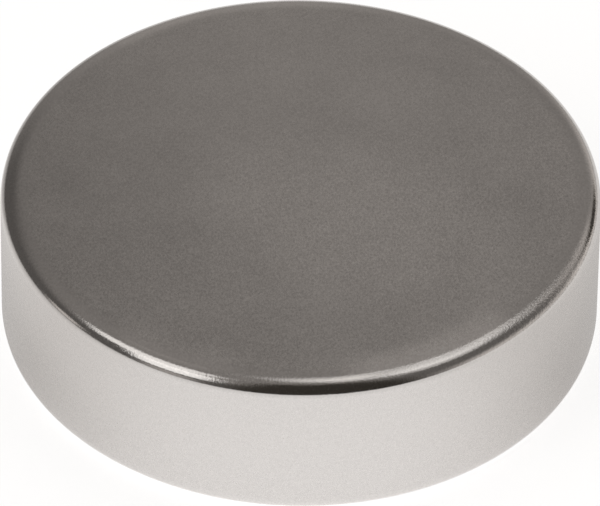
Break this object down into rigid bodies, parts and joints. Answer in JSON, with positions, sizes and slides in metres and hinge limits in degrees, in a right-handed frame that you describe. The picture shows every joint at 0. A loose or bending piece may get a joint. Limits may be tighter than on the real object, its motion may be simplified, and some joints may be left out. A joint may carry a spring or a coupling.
{
  "type": "neodymium disc magnet",
  "caption": "Plain nickel-plated neodymium disc magnet with flat pole faces, a straight rim and tumbled round edges, for holding, latching or setting in a pocket.",
  "frame": {"origin": "centre of the lower pole face, which the disc rests on", "axes": "+Z along the disc's axis, from the lower pole face to the upper one; X and Y lie in the lower pole face, and either may point any way round"},
  "size_m": [0.025, 0.025, 0.007],
  "materials": {
    "nickel_plate": "satin nickel plate, bright on the tumbled edges"
  },
  "bodies": {
    "root": {"magnet_disc": "nickel_plate"}
  },
  "joints": []
}
